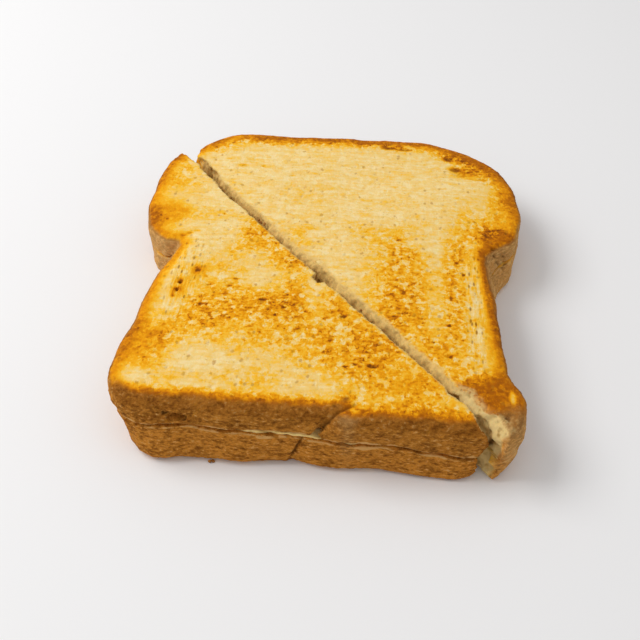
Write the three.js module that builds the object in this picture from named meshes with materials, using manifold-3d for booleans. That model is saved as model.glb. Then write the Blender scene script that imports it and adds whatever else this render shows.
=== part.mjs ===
// A toasted sandwich: two slices of a tin loaf pressed round a thin filling, then cut corner to
// corner. Millimetres, +Z up, +Y towards the loaf's crown, -Y towards its flat base. The origin
// is under the middle of the sandwich, on the surface that it lies on.
import * as THREE from 'three';
import { mergeVertices } from 'three/addons/utils/BufferGeometryUtils.js';
import Module from 'manifold-3d';

const wasm = await Module();
wasm.setup();

// Heights of the layers at the middle of the sandwich, with a hair's gap on each side of the filling.
const SANDWICH_HEIGHT = 18;
const LOWER_SLICE = { bottom: 0, top: 8.7 };
const FILLING = { bottom: 9, top: 9.7 };
const UPPER_SLICE = { bottom: 10, top: 17.6 };

// Outline of a slice, seen from above. Every x is a distance from the middle line, every y a
// height over the loaf's flat base. Foot: the corner of the base. Ankle: where the flank leaves
// the foot. Notch: the fold under the crown. Lip: the underside of the crown's lobe, cheek: how
// far the lobe bulges above it.
const CROWN_HEIGHT = 140.8;
const UPPER_OUTLINE = {
  right: {
    foot: 55.1, corner: 8, footHeight: 13, ankle: 50.3, ankleHeight: 23.5, waist: 48.4,
    waistHeight: 56, notch: 46.3, notchHeight: 73.5, lip: 51, lipHeight: 79.2, cheek: 4, lobe: 58.6,
    lobeHeight: 97, shoulderHeight: 102, crown: 17, roundness: 0.59,
  },
  left: {
    foot: 54.5, corner: 13, footHeight: 19, ankle: 53, ankleHeight: 28, waist: 50.6,
    waistHeight: 54, notch: 45.4, notchHeight: 72.6, lip: 49.5, lipHeight: 72, cheek: 4, lobe: 60.4,
    lobeHeight: 93, shoulderHeight: 104, crown: 38, roundness: 0.57,
  },
};
const LOWER_OUTLINE = {
  right: {
    ...UPPER_OUTLINE.right, foot: 53.4, corner: 14, footHeight: 15, waist: 49.5,
    notch: 50.6, notchHeight: 70, lip: 52.4, lipHeight: 76.5, cheek: 1.2, lobe: 58.3, lobeHeight: 98,
  },
  left: {
    ...UPPER_OUTLINE.left, foot: 51.6, corner: 16, footHeight: 20, ankle: 51.6, waist: 50.6,
    notch: 46, notchHeight: 71, lip: 51.5, lipHeight: 73.5, lobeHeight: 99,
  },
};
// How far the flat base bows outwards: distances along it, each with its bow. It fades away over
// this height.
const UPPER_BOW = [[-56, -0.4], [-30, -0.2], [0, 0.3], [6, 0.5], [11, 1.9], [30, 1.5], [56, 1.2]];
const LOWER_BOW = [
  [-56, 3.6], [-38, 4.5], [-32, 2.4], [-12, 2.7], [-4, 1.7], [0, 1.5], [4, 2.7], [21, 2.2], [27, 3],
  [40, 3.8], [56, 3.8],
];
const BOW_HEIGHT = 8;
// At the seam both slices share an outline, this far from the lower one's towards the upper one's.
const SEAM_SHARE = 0.65;
const POINTS_PER_SIDE = 66;
// The outline's direction at a point is taken over this many points on each side of it, so that
// insets don't cross in the tight bends.
const DIRECTION_REACH = 2;
// A point that every part of the outline faces, lobes and notches too.
const HUB = new THREE.Vector2(-24, 92);

// Crust: rounded edges and a shallow crumple. Along the flat base the press has rounded the top edge
// more, left of the fold most of all.
const TOP_EDGE = { inset: 3, height: 2.8 };
const FLOOR_EDGE = { inset: 2.2, height: 2 };
const SEAM_EDGE = { inset: 0.9, height: 1 };
const EDGE_STEPS = 3;
const BASE_ROUNDING = { left: 0.75, right: 0.2, from: 4, to: 12, height: 14 };
const CRUMPLE_DEPTH = 0.3;
// The filling lies back from the seam, but comes out near the fold.
const FILLING_INSET = 1.5;
const FILLING_PROUD = { amount: 1.1, x: -2, y: 0, reach: 15 };
// The seam wanders, is high at the left of the base and sinks at the sharp front corner.
const SEAM_WAVE = { rise: 0.3, depth: 0.4, crest: -30, length: 28 };
const SEAM_SHIFTS = [{ rise: 2.1, x: -28, y: 0, reach: 40 }, { rise: -2.6, x: 53, y: 0, reach: 15 }];
const FACE_RINGS = [0.88, 0.66, 0.42, 0.2];
const FACE_SWELL = 0.35;

// The cut runs at this angle to the base, this far from the middle of the base at the top face, and
// leans this far towards the front half on its way down.
const CUT_ANGLE = THREE.MathUtils.degToRad(-49);
const CUT_OFFSET = 38.6;
const CUT_LEAN = 3.6;
const CUT_WAVE = 0.3;
const CUT_REACH = { start: -155, end: 65, step: 5, far: 200 };
// The front half lies this far from the other, and has slid this far along the cut to the left.
const CUT_GAP = 3.1;
const CUT_SLIDE = 4.6;

// Creases, as wedges: plan position of the mouth and of the inner end at the top, how far the
// crease leans along x for each millimetre of height, the width of its mouth, and its heights.
const FRONT_FOLD = { mouth: [4.6, -3.4], end: [13.8, 9.4], lean: 0.34, width: 1.7, low: 9, high: 19 };
const LOBE_FOLD = { mouth: [-48.4, 70], end: [-40.5, 77], lean: 0.1, width: 0.8, low: 10, high: 19 };
const FRONT_CRACK = { mouth: [1.2, -4.4], end: [1.6, 2.6], lean: 0.42, width: 1, low: -1, high: 10 };
// Holes in the crumb and tears in the crust: middle and half sizes along x, y and z.
const BLISTER = { at: [38.9, 118.8, 18.2], size: [2.9, 1.5, 0.9] };
const FLANK_HOLES = [
  { at: [-41.8, 48, 17.8], size: [0.5, 1.1, 0.9] },
  { at: [-41.4, 51.6, 17.9], size: [0.6, 0.9, 0.9] },
  { at: [-37.1, 57.3, 18.1], size: [0.5, 0.7, 0.8] },
];
const FOOT_DENT = { at: [49.4, 5.8, 17.4], size: [0.8, 1.4, 0.9] };
const FOOT_SCRAPE = { at: [51.5, 12.5, 17.2], size: [0.6, 2.6, 0.6] };
const FRONT_CAVITY = { at: [4.6, 0.4, 11.6], size: [1.9, 2.2, 1.7] };
const FRONT_SLIT = { at: [-33.2, 0.4, 14.2], size: [3.2, 1.7, 0.6] };
const FLOOR_NICK = { at: [-1.9, -1, 1.2], size: [1.4, 1.5, 1.2] };

// Half outline from the middle of the base to the middle of the crown, x away from the middle line.
function sidePath(side) {
  const path = new THREE.Path();
  const cornerHandle = side.corner * 0.35;
  path.moveTo(0, 0);
  path.lineTo(side.foot - side.corner, 0);
  path.bezierCurveTo(side.foot - cornerHandle, 0, side.foot, cornerHandle, side.foot, side.footHeight);
  const climb = side.ankleHeight - side.footHeight;
  const instep = THREE.MathUtils.lerp(side.ankle, side.foot, 0.35);
  path.bezierCurveTo(side.foot, side.footHeight + climb * 0.5, instep, side.ankleHeight - climb * 0.4,
    side.ankle, side.ankleHeight);
  path.lineTo(side.waist, side.waistHeight);
  path.lineTo(side.notch, side.notchHeight);
  path.lineTo(side.lip, side.lipHeight);
  const swing = (side.lobeHeight - side.lipHeight) * 0.65;
  path.bezierCurveTo(side.lip + side.cheek, side.lipHeight + 1, side.lobe, side.lobeHeight - swing,
    side.lobe, side.lobeHeight);
  path.lineTo(side.lobe, side.shoulderHeight);
  const rise = (CROWN_HEIGHT - side.shoulderHeight) * side.roundness;
  const reach = (side.lobe - side.crown) * side.roundness;
  path.bezierCurveTo(side.lobe, side.shoulderHeight + rise, side.crown + reach, CROWN_HEIGHT,
    side.crown, CROWN_HEIGHT);
  path.lineTo(0, CROWN_HEIGHT);
  return path.getSpacedPoints(POINTS_PER_SIDE);
}

// Value at x of a table of [x, value] rows, on straight lines between them.
function valueAlong(table, x) {
  const next = Math.max(1, table.findIndex(([at], i) => at > x || i === table.length - 1));
  const [[from, low], [to, high]] = table.slice(next - 1, next + 1);
  return THREE.MathUtils.mapLinear(THREE.MathUtils.clamp(x, from, to), from, to, low, high);
}

// Closed outline, anticlockwise from the middle of the base.
function sliceOutline(sides, bow) {
  const right = sidePath(sides.right);
  const left = sidePath(sides.left).slice(1, -1).reverse();
  const points = right.concat(left.map((p) => new THREE.Vector2(-p.x, p.y)));
  for (const point of points) {
    const near = Math.max(0, 1 - point.y / BOW_HEIGHT);
    point.y -= near * valueAlong(bow, point.x);
  }
  return points.map((point, i) => {
    const before = points.at(i - DIRECTION_REACH);
    const after = points[(i + DIRECTION_REACH) % points.length];
    const tangent = new THREE.Vector2().subVectors(after, before).normalize();
    return { point, normal: new THREE.Vector2(tangent.y, -tangent.x) };
  });
}

// Depth of the crust's shallow dents: waves that run round the slice, and others that climb it.
function crumple(x, y, z) {
  const around = 0.5 * Math.sin(x * 0.42 + y * 0.31) + 0.35 * Math.sin(x * 0.23 - y * 0.37 + 2);
  const upwards = Math.sin(x * 0.15 + y * 0.19 + z * 0.9) * Math.sin(x * 0.33 - y * 0.27 + z * 0.5);
  return CRUMPLE_DEPTH * (around + upwards);
}

// Slow rise and fall of the toasted face.
function swell(x, y) {
  const broad = Math.sin(x * 0.11 + 0.5) * Math.cos(y * 0.09);
  const slanting = Math.sin(x * 0.07 - y * 0.13);
  return FACE_SWELL * (0.6 * broad + 0.4 * slanting);
}

// Share of a soft round patch at a place: 1 at its middle, fading over its reach.
function patchShare(patch, x, y) {
  return Math.exp(-(((x - patch.x) ** 2 + (y - patch.y) ** 2) / patch.reach ** 2));
}

// Lifts or sinks the seam: nothing moves at the floor or at the top face.
function seamShift(x, y, z) {
  const swing = Math.cos(((x - SEAM_WAVE.crest) / SEAM_WAVE.length) * 2 * Math.PI) * Math.cos(y * 0.05);
  const wave = SEAM_WAVE.rise + SEAM_WAVE.depth * swing;
  const shift = SEAM_SHIFTS.reduce((sum, patch) => sum + patch.rise * patchShare(patch, x, y), wave);
  const level = THREE.MathUtils.clamp((2 * z) / SANDWICH_HEIGHT - 1, -1, 1);
  return shift * (1 - level * level);
}

// How many times larger the top edge's rounding is at a place.
function topRounding({ x, y }) {
  const near = THREE.MathUtils.clamp(1 - y / BASE_ROUNDING.height, 0, 1);
  const along = THREE.MathUtils.smoothstep(x, BASE_ROUNDING.from, BASE_ROUNDING.to);
  return 1 + near * THREE.MathUtils.lerp(BASE_ROUNDING.left, BASE_ROUNDING.right, along);
}

// Closed solid through rings, from the lowest face's edge to the highest one's. A ring has an outline,
// a height, a drop below it, an inset, a shrink towards the hub and its share of the face's swell. Where
// it is told to, the drop and the inset grow with the top edge's rounding.
function loft(rings) {
  const positions = [];
  const addVertex = (x, y, z, swellShare) => {
    positions.push(x, y, z + seamShift(x, y, z) + swell(x, y) * swellShare);
  };
  for (const { outline, z, drop = 0, inset, grows = false, shrink = 1, swellShare = 0 } of rings) {
    for (const { point, normal } of outline) {
      const growth = grows ? topRounding(point) : 1;
      const level = z - drop * growth;
      const depth = inset * growth + crumple(point.x, point.y, level);
      const x = HUB.x + (point.x - normal.x * depth - HUB.x) * shrink;
      const y = HUB.y + (point.y - normal.y * depth - HUB.y) * shrink;
      addVertex(x, y, level, swellShare);
    }
  }
  const count = rings[0].outline.length;
  const last = rings.length - 1;
  const lowHub = positions.length / 3;
  addVertex(HUB.x, HUB.y, rings[0].z, 0);
  addVertex(HUB.x, HUB.y, rings[last].z, rings[last].swellShare ?? 0);
  const index = [];
  for (let i = 0; i < count; i++) {
    const next = (i + 1) % count;
    index.push(lowHub, next, i);
    index.push(lowHub + 1, last * count + i, last * count + next);
    for (let k = 0; k < last; k++) {
      const low = k * count;
      const high = low + count;
      index.push(low + i, low + next, high + next, low + i, high + next, high + i);
    }
  }
  const geometry = new THREE.BufferGeometry();
  geometry.setAttribute('position', new THREE.Float32BufferAttribute(positions, 3));
  geometry.setIndex(index);
  return geometry;
}

// Rings of a rounded edge. Direction 1 rounds over the top, -1 rounds under the bottom.
function roundedEdge(outline, z, edge, direction, grows = false) {
  const rings = [];
  for (let step = 0; step <= EDGE_STEPS; step++) {
    const angle = (step / EDGE_STEPS) * (Math.PI / 2);
    const drop = direction * edge.height * (1 - Math.sin(angle));
    rings.push({ outline, z, drop, inset: edge.inset * (1 - Math.cos(angle)), grows });
  }
  return direction > 0 ? rings : rings.reverse();
}

const lowerOutline = sliceOutline(LOWER_OUTLINE, LOWER_BOW);
const upperOutline = sliceOutline(UPPER_OUTLINE, UPPER_BOW);
const seamOutline = lowerOutline.map(({ point, normal }, i) => ({
  point: point.clone().lerp(upperOutline[i].point, SEAM_SHARE),
  normal: normal.clone().lerp(upperOutline[i].normal, SEAM_SHARE).normalize(),
}));

function lowerSlice() {
  const floor = roundedEdge(lowerOutline, LOWER_SLICE.bottom, FLOOR_EDGE, -1);
  return loft(floor.concat(roundedEdge(seamOutline, LOWER_SLICE.top, SEAM_EDGE, 1)));
}

function filling() {
  const outline = seamOutline.map(({ point, normal }) => {
    const proud = FILLING_PROUD.amount * patchShare(FILLING_PROUD, point.x, point.y);
    return { point: point.clone().addScaledVector(normal, proud), normal };
  });
  return loft([
    { outline, z: FILLING.bottom, inset: FILLING_INSET },
    { outline, z: FILLING.top, inset: FILLING_INSET },
  ]);
}

function upperSlice() {
  const seam = roundedEdge(seamOutline, UPPER_SLICE.bottom, SEAM_EDGE, -1);
  const face = FACE_RINGS.map((shrink, i) => ({
    outline: upperOutline,
    z: THREE.MathUtils.lerp(UPPER_SLICE.top, SANDWICH_HEIGHT, Math.min(1, 0.6 + i * 0.4)),
    inset: TOP_EDGE.inset,
    grows: true,
    shrink,
    swellShare: 1,
  }));
  return loft([...seam, ...roundedEdge(upperOutline, UPPER_SLICE.top, TOP_EDGE, 1, true), ...face]);
}

function toSolid(geometry) {
  const bare = geometry.clone();
  bare.deleteAttribute('normal');
  bare.deleteAttribute('uv');
  const merged = mergeVertices(bare, 1e-4);
  return new wasm.Manifold(new wasm.Mesh({
    numProp: 3,
    vertProperties: new Float32Array(merged.attributes.position.array),
    triVerts: new Uint32Array(merged.index.array),
  }));
}

function toGeometry(solid) {
  const mesh = solid.getMesh();
  const geometry = new THREE.BufferGeometry();
  geometry.setAttribute('position', new THREE.BufferAttribute(mesh.vertProperties, 3));
  geometry.setIndex(new THREE.BufferAttribute(mesh.triVerts, 1));
  geometry.computeVertexNormals();
  return geometry;
}

// A wedge that is open at the crust and comes to an edge inside the slice.
function creaseSolid({ mouth, end, lean, width, low, high }) {
  const from = new THREE.Vector2(...mouth);
  const to = new THREE.Vector2(...end);
  const across = to.clone().sub(from).normalize().rotateAround(new THREE.Vector2(), Math.PI / 2);
  across.multiplyScalar(width / 2);
  const corners = [from.clone().sub(across), to, from.clone().add(across)];
  const depth = high - low;
  const wedge = new THREE.ExtrudeGeometry(new THREE.Shape(corners), { depth, bevelEnabled: false });
  wedge.translate(0, 0, -depth);
  wedge.applyMatrix4(new THREE.Matrix4().makeShear(0, 0, 0, 0, lean, 0));
  wedge.translate(0, 0, high);
  return toSolid(wedge);
}

function holeSolid({ at, size }) {
  const hole = new THREE.IcosahedronGeometry(1, 2);
  hole.scale(...size);
  hole.translate(...at);
  return toSolid(hole);
}

// Everything on the crown's side of the slightly wavy cut.
function crownSideOfCut() {
  const along = new THREE.Vector2(Math.cos(CUT_ANGLE), Math.sin(CUT_ANGLE));
  const across = new THREE.Vector2(-along.y, along.x);
  const place = (t, s) => along.clone().multiplyScalar(t).addScaledVector(across, s);
  const { start, end, step, far } = CUT_REACH;
  const outline = [place(start, far), place(start, CUT_OFFSET)];
  for (let t = start + step; t < end; t += step) {
    const ripple = Math.sin(t * 0.35) + 0.6 * Math.sin(t * 0.83 + 1);
    outline.push(place(t, CUT_OFFSET + CUT_WAVE * ripple));
  }
  outline.push(place(end, CUT_OFFSET), place(end, far));
  const depth = 3 * SANDWICH_HEIGHT;
  const block = new THREE.ExtrudeGeometry(new THREE.Shape(outline), { depth, bevelEnabled: false });
  block.translate(0, 0, -2 * SANDWICH_HEIGHT);
  const lean = across.clone().multiplyScalar(CUT_LEAN / SANDWICH_HEIGHT);
  block.applyMatrix4(new THREE.Matrix4().makeShear(0, 0, 0, 0, lean.x, lean.y));
  block.translate(0, 0, SANDWICH_HEIGHT);
  return toSolid(block);
}

function material(color, roughness) {
  return new THREE.MeshStandardMaterial({ color, roughness, metalness: 0 });
}

const LAYERS = [
  {
    name: 'lower_slice', geometry: lowerSlice(), finish: () => material(0xb07c40, 0.85),
    cutters: [creaseSolid(FRONT_CRACK), holeSolid(FLOOR_NICK)],
  },
  { name: 'filling', geometry: filling(), finish: () => material(0xe6d6a2, 0.5), cutters: [] },
  {
    name: 'upper_slice', geometry: upperSlice(), finish: () => material(0xe9b04c, 0.8),
    cutters: [
      creaseSolid(FRONT_FOLD), creaseSolid(LOBE_FOLD),
      ...[FRONT_CAVITY, FRONT_SLIT, BLISTER, ...FLANK_HOLES, FOOT_DENT, FOOT_SCRAPE].map(holeSolid),
    ],
  },
];

const sandwich = new THREE.Group();
const backHalf = new THREE.Group();
const frontHalf = new THREE.Group();
frontHalf.position.set(
  -CUT_SLIDE * Math.cos(CUT_ANGLE) + CUT_GAP * Math.sin(CUT_ANGLE),
  -CUT_SLIDE * Math.sin(CUT_ANGLE) - CUT_GAP * Math.cos(CUT_ANGLE),
  0,
);
sandwich.add(backHalf, frontHalf);

const crownSide = crownSideOfCut();
for (const { name, geometry, finish, cutters } of LAYERS) {
  const whole = cutters.reduce((solid, cutter) => solid.subtract(cutter), toSolid(geometry));
  const back = new THREE.Mesh(toGeometry(whole.intersect(crownSide)), finish());
  const front = new THREE.Mesh(toGeometry(whole.subtract(crownSide)), finish());
  back.name = `${name}_back_half`;
  front.name = `${name}_front_half`;
  backHalf.add(back);
  frontHalf.add(front);
}

// The middle of the whole's length and width goes over the origin.
const middle = new THREE.Box3().setFromObject(sandwich).getCenter(new THREE.Vector3());
sandwich.position.set(-middle.x, -middle.y, 0);

const group = new THREE.Group();
group.add(sandwich);
export default group;
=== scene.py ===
"""Looks of a toasted sandwich: two pressed slices of a tin loaf with a thin cream filling, cut corner
to corner. Every bread piece is a copy of its plain solid, remeshed finely, shaped by folds
and tears, and given its pores and wrinkles by Geometry Nodes."""

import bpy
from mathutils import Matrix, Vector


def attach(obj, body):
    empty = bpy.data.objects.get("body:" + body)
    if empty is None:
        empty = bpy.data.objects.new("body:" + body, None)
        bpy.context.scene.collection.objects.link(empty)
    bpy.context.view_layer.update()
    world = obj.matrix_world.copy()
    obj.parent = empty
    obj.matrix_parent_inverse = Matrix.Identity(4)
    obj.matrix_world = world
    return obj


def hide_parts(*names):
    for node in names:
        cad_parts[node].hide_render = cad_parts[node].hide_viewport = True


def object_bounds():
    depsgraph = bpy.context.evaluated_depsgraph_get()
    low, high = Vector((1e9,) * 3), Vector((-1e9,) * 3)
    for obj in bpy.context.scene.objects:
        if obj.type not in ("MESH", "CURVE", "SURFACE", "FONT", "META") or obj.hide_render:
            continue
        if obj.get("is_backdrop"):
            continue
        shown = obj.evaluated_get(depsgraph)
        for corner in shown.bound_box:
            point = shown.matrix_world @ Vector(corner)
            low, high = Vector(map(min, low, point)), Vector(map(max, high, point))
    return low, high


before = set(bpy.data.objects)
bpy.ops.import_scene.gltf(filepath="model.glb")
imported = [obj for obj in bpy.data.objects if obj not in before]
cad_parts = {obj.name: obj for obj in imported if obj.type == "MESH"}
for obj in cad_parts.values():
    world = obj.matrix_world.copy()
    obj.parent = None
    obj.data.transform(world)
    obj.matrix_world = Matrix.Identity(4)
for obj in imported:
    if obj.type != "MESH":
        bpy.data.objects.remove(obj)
CAD_LOW, CAD_HIGH = (list(corner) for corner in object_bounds())

import math

import bmesh
import bpy
import numpy as np
from bpy.props import FloatProperty, FloatVectorProperty, IntProperty, PointerProperty
from mathutils import Vector
from mathutils.bvhtree import BVHTree

bl_info = {
    "name": "Toasted sandwich",
    "version": (1, 0, 0),
    "blender": (4, 5, 0),
    "location": "3D View > Sidebar > Sandwich",
    "description": "Dresses the solids of a toasted sandwich with crust, toasted crumb and filling",
    "category": "Add Mesh",
}

MM = 0.001
# Corners of a solid that lie nearer together than the first length are one, and a face thinner than
# the second is closed up, in mm.
SAME_CORNER = 0.002
THIN_FACE = 0.01
BODY = "root"
HALVES = ("back_half", "front_half")

# Middle of the loaf's flat base, in the part's frame, in mm. Places on the bread are measured from
# it: x to the right, y towards the crown.
BASE = np.array([3.58, -69.52, 0.0])
TOP_Z = 18.0

# The cut: its angle to the base, its distance from the middle of the base at the top face, and how
# far it leans towards the front half on its way down. The front half lies a gap away from it.
CUT_ANGLE = math.radians(-49)
CUT_OFFSET = 38.6
CUT_LEAN = 3.6
CUT_GAP = 3.1
CUT_ALONG = np.array([math.cos(CUT_ANGLE), math.sin(CUT_ANGLE)])
CUT_ACROSS = np.array([-math.sin(CUT_ANGLE), math.cos(CUT_ANGLE)])
# Along the cut, in mm from the point beside the middle of the base: where its torn tip begins and is
# whole, at the base's right corner.
TIP = (8, 16)

# Along the cut again: how much its upper edges are rounded, how far the back half's crumb bulges into
# the gap, and how far the front half's edge has broken back.
WORN_EDGE = (
    (-125, 0.6), (-80, 0.8), (-66, 1.5), (-45, 1.2), (-30, 0.9), (-10, 0.9), (6, 1.1), (18, 1.5),
    (30, 1.8),
)
GAP_BULGE = (
    (-125, -2.6), (-114, -1.8), (-109, 0.7), (-95, 1.0), (-84, 0.7), (-78, 1.3), (-71, 2.3), (-62, 2.2),
    (-56, 1.3), (-50, 0.5), (-46, 0.5), (-42, 1.7), (-33, 1.5), (-24, 0.7), (-15, 0.7), (-8, 1.5),
    (10, 1.6), (20, 1.0), (30, 0.4),
)
BROKEN_EDGE = (
    (-125, -1.4), (-113, -1.1), (-106, 0.0), (-52, 0.1), (-50, 0.4), (-49, 2.3), (-46, 2.4), (-45, 0.2),
    (19, 0.0), (27, 0.8), (30, 1.6), (34, 2.0),
)

# Places on the crust's side where a fold's own walls aren't crust: x, y and reach in mm.
INNER_FOLDS = ((-46.5, 77.5, 6.0), (9.0, 8.4, 7.4))

# Faces of a slice, told by their normal's z, from low to high, and by a height that they lie under, in
# mm: the side wall, the wall with the rounded edge over it, and each slice's edge at the seam.
SIDE_WALL = {"low": -0.55, "high": 0.55, "top": 16.3}
WALL_AND_RIM = {"low": -0.3, "high": 0.93, "top": 17.4}
UPPER_SEAM = {"low": -1.1, "high": -0.4, "top": 14.5}
LOWER_SEAM = {"low": 0.4, "high": 1.1, "top": 14.5}


def linear(hex_colour):
    """Linear RGB of an sRGB hex value such as 'F4DCA4'."""
    channels = [int(hex_colour[i:i + 2], 16) / 255 for i in (0, 2, 4)]
    return [c / 12.92 if c <= 0.04045 else ((c + 0.055) / 1.055) ** 2.4 for c in channels]


def colour_setting(name, description, hex_colour):
    return FloatVectorProperty(
        name=name, description=description, subtype="COLOR", size=3, min=0, max=1,
        default=linear(hex_colour),
    )


def length_setting(name, description, millimetres):
    return FloatProperty(
        name=name, description=description, default=millimetres * MM, min=0, subtype="DISTANCE",
        unit="LENGTH", precision=5,
    )


class BreadSettings(bpy.types.PropertyGroup):
    """Sizes and colours of the four pieces of bread"""

    mesh_step: length_setting("Mesh step", "Edge length of the bread's fine mesh", 0.49)
    pore_radius: length_setting("Pore radius", "Radius of the largest pores in the crumb", 0.6)
    pore_spacing: length_setting("Pore spacing", "Least distance between pores on the face", 2.4)
    pore_depth: length_setting("Pore depth", "Depth of the largest pores", 0.4)
    wrinkle_height: length_setting("Wrinkle height", "Relief of the crust's wrinkles", 0.4)
    crumb_relief: length_setting("Crumb relief", "Relief of the toasted face", 0.3)
    cut_relief: length_setting("Cut relief", "Roughness of the cut face", 1.2)
    crack_depth: length_setting("Crack depth", "Depth of the dark cracks", 1.2)
    seam_closing: length_setting("Seam closing", "How far each slice's edge bends to the other", 0.62)
    seed: IntProperty(name="Seed", description="Seed of the pores' places", default=7, min=0)
    pale_colour: colour_setting("Pale crumb", "Crumb that the heat hardly touched", "F7DC9C")
    crumb_colour: colour_setting("Crumb", "Crumb that is just turning", "F4CC76")
    golden_colour: colour_setting("Golden", "Lightly toasted crumb", "F8BE34")
    amber_colour: colour_setting("Amber", "Toasted crumb", "F2A60C")
    orange_colour: colour_setting("Orange", "Well toasted crumb", "DE8A02")
    brown_colour: colour_setting("Brown", "Darkly toasted crumb", "AE6002")
    dark_colour: colour_setting("Dark brown", "Darkest toasting, at the edges", "7A4208")
    crust_colour: colour_setting("Crust", "Side crust of the loaf", "BE7C2C")
    # Also the painted shade in the crust's creases and dents.
    dark_crust_and_shade_colour: colour_setting("Dark crust", "Side crust in its folds and dents", "6E3E0A")
    # Also the painted highlight on standing flakes and on the slices' edges at the seam.
    light_crust_and_highlight_colour: colour_setting("Light crust", "Flakes that stand out of the side crust", "DDAE6C")
    # Also the painted shade inside cracks and grooves.
    char_and_shade_colour: colour_setting("Scorched", "Scorched spots and the depth of tears", "744208")
    # Painted shade inside pores, small pits and grooves.
    pore_shade_colour: colour_setting("Pore", "Shaded inside of a pore", "AE7418")
    cut_colour: colour_setting("Cut crumb", "Untoasted crumb at the cut", "E8C072")
    # Painted shade of the crumb low down in the gap of the cut and in hollows at the torn tip.
    cut_shade_colour: colour_setting("Deep crumb", "Crumb low down in the cut", "AC7C2E")


class FillingSettings(bpy.types.PropertyGroup):
    """Size and colour of the filling"""

    mesh_step: length_setting("Mesh step", "Edge length of the filling's mesh near its edge", 0.8)
    lump_height: length_setting("Lump height", "Unevenness of the filling's edge", 0.35)
    cream_colour: colour_setting("Cream", "Soft cream filling", "F4CF80")
    # Painted shade of the cream, laid on in blotches.
    cream_shade_colour: colour_setting("Shade", "Darker streaks in the filling", "B89244")


class CrumbSettings(bpy.types.PropertyGroup):
    """Size of the loose crumbs"""

    radius: length_setting("Crumb radius", "Radius of the largest crumb", 0.5)
    seed: IntProperty(name="Seed", description="Seed of the crumbs' turns and sizes", default=3, min=0)


class StageSettings(bpy.types.PropertyGroup):
    """Floor, light and camera"""

    floor_colour: colour_setting("Floor", "Plain pale floor", "F3F2F2")
    key_power: FloatProperty(name="Key light", description="Power of the large soft light", default=5.4,
                             min=0, unit="POWER")
    sky_strength: FloatProperty(name="Surroundings", description="Brightness of the white room",
                                default=0.58, min=0)
    camera_height: length_setting("Camera height", "Height of the camera over the floor", 205.5)
    lens: FloatProperty(name="Lens", description="Focal length on a 36 mm sensor, in mm", default=54, min=1)


def set_inputs(tree, made, inputs):
    """Sets a node's inputs to values, or links them from sockets."""
    for key, value in inputs.items():
        if isinstance(value, bpy.types.NodeSocket):
            tree.links.new(value, made.inputs[key])
        else:
            made.inputs[key].default_value = value


def add_node(tree, kind, inputs=None, **settings):
    """Adds a node with its settings. Inputs are values, or sockets to link from."""
    made = tree.nodes.new(kind)
    for name, value in settings.items():
        setattr(made, name, value)
    set_inputs(tree, made, inputs or {})
    return made


class Sums:
    """Adds the math nodes of one tree."""

    def __init__(self, tree):
        self.tree = tree

    def maths(self, operation, a, b=0.0, c=0.0):
        return add_node(self.tree, "ShaderNodeMath", {0: a, 1: b, 2: c}, operation=operation).outputs[0]

    def times(self, a, *others):
        for other in others:
            a = self.maths("MULTIPLY", a, other)
        return a

    def plus(self, total, extra, share=1.0):
        """The total, and a share of something extra."""
        return self.maths("MULTIPLY_ADD", extra, share, total)


class Looks(Sums):
    """Adds the nodes of one material, with short names for what it uses most. Sizes are in mm."""

    def __init__(self, tree):
        super().__init__(tree)
        self.place = add_node(tree, "ShaderNodeTexCoord").outputs["Object"]

    def attribute(self, key):
        return add_node(self.tree, "ShaderNodeAttribute", attribute_name=key).outputs["Fac"]

    def mapped(self, value, low, high, to_low=0.0, to_high=1.0):
        return add_node(
            self.tree, "ShaderNodeMapRange",
            {"Value": value, "From Min": low, "From Max": high, "To Min": to_low, "To Max": to_high},
            interpolation_type="SMOOTHSTEP",
        ).outputs[0]

    def mixed(self, share, a, b):
        return add_node(self.tree, "ShaderNodeMix", {0: share, 6: a, 7: b}, data_type="RGBA").outputs[2]

    def stretched(self, x, y, z):
        """Coordinates in mm, drawn out along each axis."""
        scale = [x / MM, y / MM, z / MM]
        return add_node(self.tree, "ShaderNodeMapping", {"Vector": self.place, "Scale": scale}).outputs[0]

    def noise(self, coords, size, detail=2.0, rough=0.55):
        """Noise from about -0.5 to 0.5 whose bumps are size mm apart."""
        texture = add_node(
            self.tree, "ShaderNodeTexNoise",
            {"Vector": coords, "Scale": 1 / size, "Detail": detail, "Roughness": rough},
        )
        return self.maths("SUBTRACT", texture.outputs[0], 0.5)

    def spots(self, coords, size, inner, outer, rare, common):
        """Round spots scattered size mm apart: full inside the inner radius, none past the outer one,
        both as shares of size. Each has a random share: under rare it is left out, over common whole."""
        texture = add_node(self.tree, "ShaderNodeTexVoronoi", {"Vector": coords, "Scale": 1 / size})
        share = add_node(self.tree, "ShaderNodeSeparateColor", {0: texture.outputs["Color"]}).outputs[0]
        near = self.mapped(texture.outputs["Distance"], inner, outer, 1.0, 0.0)
        return self.times(near, self.mapped(share, rare, common))


def rgba(colour, shade=1.0):
    return (*(channel * shade for channel in colour), 1.0)


def new_material(name):
    """A material, its node tree and its surface shader."""
    material = bpy.data.materials.new(name)
    material.use_nodes = True
    return material, material.node_tree, material.node_tree.nodes["Principled BSDF"]


def new_object(name, data):
    """A new object in the scene."""
    made = bpy.data.objects.new(name, data)
    bpy.context.scene.collection.objects.link(made)
    return made


def geometry_tree(name, inputs):
    """A Geometry Nodes tree with further inputs, and the sockets that give them."""
    tree = bpy.data.node_groups.new(name, "GeometryNodeTree")
    for key, kind in (("Geometry", "Geometry"), *inputs):
        tree.interface.new_socket(key, in_out="INPUT", socket_type=f"NodeSocket{kind}")
    tree.interface.new_socket("Geometry", in_out="OUTPUT", socket_type="NodeSocketGeometry")
    return tree, add_node(tree, "NodeGroupInput").outputs


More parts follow.
